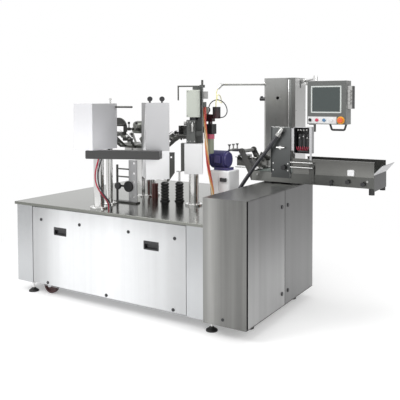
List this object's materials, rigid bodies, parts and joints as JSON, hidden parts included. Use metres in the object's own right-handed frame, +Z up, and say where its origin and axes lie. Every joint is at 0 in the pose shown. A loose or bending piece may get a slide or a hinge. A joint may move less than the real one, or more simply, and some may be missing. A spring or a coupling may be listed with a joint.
{
  "type": "rotary pouch packing machine",
  "caption": "Rotary pouch packing machine: cabinet base with an indexing gripper table, heat sealers, pouch magazine, control cabinet and a swinging operator panel.",
  "frame": {"origin": "middle of the bounding box, on the floor", "axes": "+X along the front to the magazine's end, +Y from the front to the tower, +Z up"},
  "size_m": [2.873, 1.797, 1.813],
  "materials": {
    "brushed": "brushed",
    "cabinet_steel": "brushed",
    "deck_steel": "fine ground",
    "polished": "polished",
    "cover_steel": "satin",
    "black_plastic": "matt",
    "rubber": "matt",
    "machined": "machined",
    "mixed_hardware": "satin",
    "belt_green": "satin",
    "screen_glass": "gloss",
    "panel_grey": "satin",
    "red_cap": "gloss",
    "blue_cap": "gloss",
    "white_cap": "gloss",
    "stop_red": "gloss",
    "blue_enamel": "satin",
    "red_hose": "satin",
    "copper": "satin",
    "yellow_air": "satin",
    "caster": "satin"
  },
  "bodies": {
    "base": {"base_frame": "brushed", "access_panel": "brushed", "panel_hardware": "black_plastic", "table_top": "deck_steel", "levelling_feet": "rubber", "cabinet_shell": "cabinet_steel", "electrical_panel": "mixed_hardware", "drive_unit": "mixed_hardware", "turret_column": "polished", "sealer_a_cover": "cover_steel", "sealer_b_cover": "cover_steel", "sealer_stand": "polished", "opener_column": "cover_steel", "rod_boots": "rubber", "air_unit": "mixed_hardware", "vacuum_unit": "blue_enamel", "tower": "cabinet_steel", "magazine_beam": "cabinet_steel", "magazine_trough": "cabinet_steel", "magazine_belt": "belt_green", "hand_knobs": "black_plastic", "feed_plate": "cabinet_steel", "main_cable": "black_plastic", "red_hose": "red_hose", "black_hose": "black_plastic", "copper_bundle": "copper", "loop_hose": "black_plastic", "yellow_tube": "yellow_air"},
    "caster_1": {"caster_wheel_1": "caster"},
    "caster_2": {"caster_wheel_2": "caster"},
    "caster_3": {"caster_wheel_3": "caster"},
    "caster_4": {"caster_wheel_4": "caster"},
    "door_front": {"cabinet_door_front": "cabinet_steel"},
    "door_rear": {"cabinet_door_rear": "cabinet_steel"},
    "lock_1": {"door_lock_1": "black_plastic"},
    "lock_2": {"door_lock_2": "black_plastic"},
    "lock_3": {"door_lock_3": "black_plastic"},
    "lock_4": {"door_lock_4": "black_plastic"},
    "rotor": {"turret_rotor": "machined"},
    "arms_left": {"arm_ring_left": "machined"},
    "arms_right": {"arm_ring_right": "machined"},
    "sealer_a_outer": {"sealer_a_jaw_outer": "machined"},
    "sealer_a_inner": {"sealer_a_jaw_inner": "machined"},
    "sealer_b_outer": {"sealer_b_jaw_outer": "machined"},
    "sealer_b_inner": {"sealer_b_jaw_inner": "machined"},
    "opener": {"opener_slide": "machined"},
    "lifter": {"lift_rods": "polished"},
    "swing_arm": {"hmi_arm": "polished"},
    "operator_panel": {"hmi_enclosure": "panel_grey", "hmi_screen": "screen_glass", "hmi_fittings": "black_plastic"},
    "selector": {"hmi_selector": "black_plastic"},
    "button_red": {"hmi_button_red": "red_cap"},
    "button_blue": {"hmi_button_blue": "blue_cap"},
    "button_white": {"hmi_button_white": "white_cap"},
    "stop_button": {"hmi_estop": "stop_red"},
    "drive_roller": {"magazine_roller_drive": "machined"},
    "tail_roller": {"magazine_roller_tail": "machined"},
    "lever": {"clamp_lever": "polished"},
    "pickup": {"pickup_arm": "machined"}
  },
  "joints": [
    {"name": "caster_1_spin", "type": "hinge", "parent": "base", "child": "caster_1", "pos_m": [-1.1015, -0.7795, 0.075], "axis": [0, 1, 0], "continuous": true},
    {"name": "caster_2_spin", "type": "hinge", "parent": "base", "child": "caster_2", "pos_m": [-1.1015, 0.8045, 0.075], "axis": [0, 1, 0], "continuous": true},
    {"name": "caster_3_spin", "type": "hinge", "parent": "base", "child": "caster_3", "pos_m": [0.1405, -0.5575, 0.075], "axis": [0, 1, 0], "continuous": true},
    {"name": "caster_4_spin", "type": "hinge", "parent": "base", "child": "caster_4", "pos_m": [0.1405, 0.5825, 0.075], "axis": [0, 1, 0], "continuous": true},
    {"name": "front_door_swing", "type": "hinge", "parent": "base", "child": "door_front", "pos_m": [0.7885, -0.8625, 0.5], "axis": [0, 0, 1], "range_deg": [-105, 0]},
    {"name": "rear_door_swing", "type": "hinge", "parent": "base", "child": "door_rear", "pos_m": [0.7885, 0.2715, 0.5], "axis": [0, 0, 1], "range_deg": [0, 105]},
    {"name": "door_lock_1_turn", "type": "hinge", "parent": "door_front", "child": "lock_1", "pos_m": [0.7955, -0.328, 0.184], "axis": [1, 0, 0], "range_deg": [0, 90]},
    {"name": "door_lock_2_turn", "type": "hinge", "parent": "door_front", "child": "lock_2", "pos_m": [0.7955, -0.328, 0.829], "axis": [1, 0, 0], "range_deg": [0, 90]},
    {"name": "door_lock_3_turn", "type": "hinge", "parent": "door_rear", "child": "lock_3", "pos_m": [0.7955, -0.221, 0.184], "axis": [1, 0, 0], "range_deg": [-90, 0]},
    {"name": "door_lock_4_turn", "type": "hinge", "parent": "door_rear", "child": "lock_4", "pos_m": [0.7955, -0.221, 0.829], "axis": [1, 0, 0], "range_deg": [-90, 0]},
    {"name": "turret_spin", "type": "hinge", "parent": "base", "child": "rotor", "pos_m": [-0.6805, -0.0275, 1.2], "axis": [0, 0, 1], "continuous": true},
    {"name": "pouch_width_left", "type": "hinge", "parent": "rotor", "child": "arms_left", "pos_m": [-0.6805, -0.0275, 1.21], "axis": [0, 0, 1], "range_deg": [-3.5, 1.5]},
    {"name": "pouch_width_right", "type": "hinge", "parent": "rotor", "child": "arms_right", "pos_m": [-0.6805, -0.0275, 1.225], "axis": [0, 0, 1], "range_deg": [-1.5, 3.5]},
    {"name": "sealer_a_close", "type": "slide", "parent": "base", "child": "sealer_a_outer", "axis": [0, 1, 0], "range_m": [0, 0.015]},
    {"name": "sealer_a_close_inner", "type": "slide", "parent": "base", "child": "sealer_a_inner", "axis": [0, -1, 0], "range_m": [0, 0.015]},
    {"name": "sealer_b_close", "type": "slide", "parent": "base", "child": "sealer_b_outer", "axis": [-0.7071, 0.7071, 0], "range_m": [0, 0.015]},
    {"name": "sealer_b_close_inner", "type": "slide", "parent": "base", "child": "sealer_b_inner", "axis": [0.7071, -0.7071, 0], "range_m": [0, 0.015]},
    {"name": "opener_reach", "type": "slide", "parent": "base", "child": "opener", "axis": [-0.9465, 0.3227, 0], "range_m": [0, 0.03]},
    {"name": "lift", "type": "slide", "parent": "base", "child": "lifter", "axis": [0, 0, 1], "range_m": [0, 0.06]},
    {"name": "arm_swing", "type": "hinge", "parent": "base", "child": "swing_arm", "pos_m": [0.5145, 0.7925, 1.784], "axis": [0, 0, 1], "range_deg": [0, 40]},
    {"name": "panel_swivel", "type": "hinge", "parent": "swing_arm", "child": "operator_panel", "pos_m": [0.8345, 0.2225, 1.784], "axis": [0, 0, 1], "range_deg": [-50, 60]},
    {"name": "selector_turn", "type": "hinge", "parent": "operator_panel", "child": "selector", "pos_m": [0.8235, 0.1425, 1.456], "axis": [0, 1, 0], "range_deg": [-45, 45]},
    {"name": "button_red_press", "type": "slide", "parent": "operator_panel", "child": "button_red", "axis": [0, 1, 0], "range_m": [0, 0.004], "stiffness_N_per_m": 800},
    {"name": "button_blue_press", "type": "slide", "parent": "operator_panel", "child": "button_blue", "axis": [0, 1, 0], "range_m": [0, 0.004], "stiffness_N_per_m": 800},
    {"name": "button_white_press", "type": "slide", "parent": "operator_panel", "child": "button_white", "axis": [0, 1, 0], "range_m": [0, 0.004], "stiffness_N_per_m": 800},
    {"name": "stop_press", "type": "slide", "parent": "operator_panel", "child": "stop_button", "axis": [0, 1, 0], "range_m": [0, 0.006]},
    {"name": "drive_roller_spin", "type": "hinge", "parent": "base", "child": "drive_roller", "pos_m": [0.4295, 0.0025, 1.014], "axis": [0, 1, 0], "continuous": true},
    {"name": "tail_roller_spin", "type": "hinge", "parent": "base", "child": "tail_roller", "pos_m": [1.3265, 0.0025, 1.014], "axis": [0, 1, 0], "continuous": true},
    {"name": "lever_turn", "type": "hinge", "parent": "base", "child": "lever", "pos_m": [0.6415, 0.0025, 1.24], "axis": [0, 1, 0], "range_deg": [0, 90]},
    {"name": "pickup_swing", "type": "hinge", "parent": "base", "child": "pickup", "pos_m": [0.2695, 0.1425, 1.19], "axis": [0, 1, 0], "range_deg": [0, 70]}
  ],
  "couplings": [
    {"joint": "pouch_width_right", "follows": "pouch_width_left", "ratio": -1},
    {"joint": "sealer_a_close_inner", "follows": "sealer_a_close", "ratio": 1},
    {"joint": "sealer_b_close_inner", "follows": "sealer_b_close", "ratio": 1},
    {"joint": "tail_roller_spin", "follows": "drive_roller_spin", "ratio": 1}
  ]
}
